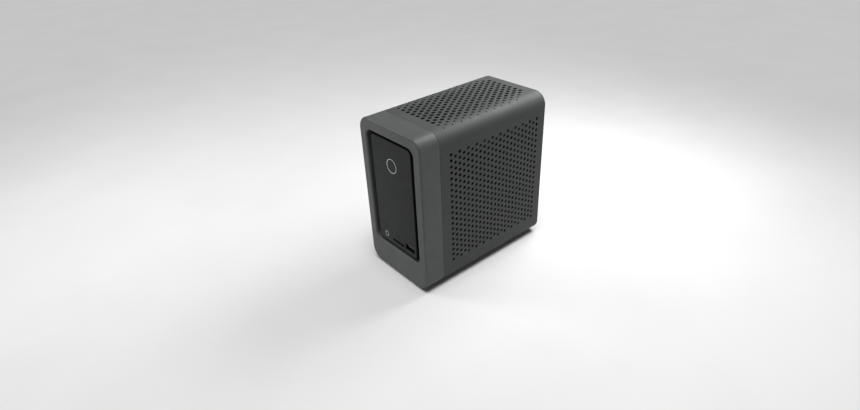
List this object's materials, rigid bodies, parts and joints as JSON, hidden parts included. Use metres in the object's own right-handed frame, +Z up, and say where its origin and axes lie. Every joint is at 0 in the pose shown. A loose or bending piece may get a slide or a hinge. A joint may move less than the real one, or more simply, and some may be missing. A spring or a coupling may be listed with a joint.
{
  "type": "mini pc",
  "caption": "Small tower computer with rounded perforated shell, framed floating front panel, ring power button, front ports and a rear-loading board tray.",
  "frame": {"origin": "middle of the footprint, on the ground under the feet", "axes": "+Z up, front face with the power button towards -Y, perforated side towards +X"},
  "size_m": [0.086, 0.155, 0.157],
  "materials": {
    "shell_paint": "fine matt powder coat",
    "bezel_plastic": "fine moulded grain",
    "panel_plastic": "satin",
    "black_plastic": "moulded",
    "ring_plastic": "translucent, satin",
    "foot_rubber": "matt",
    "board_laminate": "solder mask",
    "filter_mesh": "woven nylon",
    "sheet_steel": "black zinc",
    "rear_paint": "fine matt powder coat",
    "port_steel": "nickel plated",
    "dark_nickel": "black nickel",
    "screw_steel": "dark zinc",
    "insert_brass": "turned",
    "sink_aluminium": "extruded",
    "fan_plastic": "moulded",
    "lens_plastic": "dark tinted",
    "drive_case": "anodised",
    "choke_grey": "pressed ferrite",
    "can_aluminium": "bright",
    "cell_wrap": "shrink wrap"
  },
  "bodies": {
    "case": {"outer_shell": "shell_paint", "front_bezel": "bezel_plastic", "rubber_feet": "foot_rubber", "vesa_inserts": "insert_brass", "side_filter": "filter_mesh", "front_carrier": "black_plastic", "front_panel": "panel_plastic", "button_light_ring": "ring_plastic", "button_switch": "black_plastic", "button_board": "board_laminate", "front_io_board": "board_laminate", "audio_jack": "screw_steel", "card_reader": "dark_nickel", "front_usb_port": "dark_nickel", "status_light": "lens_plastic", "carrier_screws": "screw_steel", "panel_screws": "screw_steel", "board_mount_screws": "screw_steel", "fan_bracket": "sheet_steel", "exhaust_fan_frame": "fan_plastic", "exhaust_fan_bearing": "insert_brass", "exhaust_fan_screws": "screw_steel", "tray_rails": "black_plastic", "rear_lugs": "sheet_steel"},
    "inner_tray": {"thumbscrews": "screw_steel", "chassis_tray": "sheet_steel", "rear_panel": "rear_paint", "rear_panel_screws": "screw_steel", "standoffs": "insert_brass", "main_board": "board_laminate", "board_screws": "screw_steel", "cpu_socket": "port_steel", "processor": "port_steel", "heatsink": "sink_aluminium", "cooler_screws": "screw_steel", "cooler_fan_frame": "fan_plastic", "cooler_fan_bearing": "insert_brass", "cooler_fan_screws": "screw_steel", "memory_sockets": "black_plastic", "memory_modules": "board_laminate", "ssd_socket": "black_plastic", "ssd_stick": "board_laminate", "ssd_screw": "insert_brass", "wifi_card": "board_laminate", "power_chokes": "choke_grey", "capacitors": "can_aluminium", "storage_drive": "drive_case", "drive_screws": "screw_steel", "coin_cell": "cell_wrap", "power_inlet": "black_plastic", "hdmi_port": "port_steel", "display_port": "port_steel", "usb_c_port": "port_steel", "lan_port": "port_steel", "usb_stack_ports": "port_steel"},
    "power_button": {"power_button": "panel_plastic"},
    "exhaust_rotor": {"exhaust_fan_rotor": "fan_plastic"},
    "cooler_rotor": {"cooler_fan_rotor": "fan_plastic"}
  },
  "joints": [
    {"name": "power_button_push", "type": "slide", "parent": "case", "child": "power_button", "axis": [0, 1, 0], "range_m": [0, 0.0008], "stiffness_N_per_m": 1500},
    {"name": "tray_slide", "type": "slide", "parent": "case", "child": "inner_tray", "axis": [0, 1, 0], "range_m": [0, 0.14]},
    {"name": "exhaust_fan_spin", "type": "hinge", "parent": "case", "child": "exhaust_rotor", "pos_m": [0, 0.012, 0.146], "axis": [0, 0, 1], "continuous": true},
    {"name": "cooler_fan_spin", "type": "hinge", "parent": "inner_tray", "child": "cooler_rotor", "pos_m": [0.0225, 0.021, 0.0795], "axis": [1, 0, 0], "continuous": true}
  ]
}
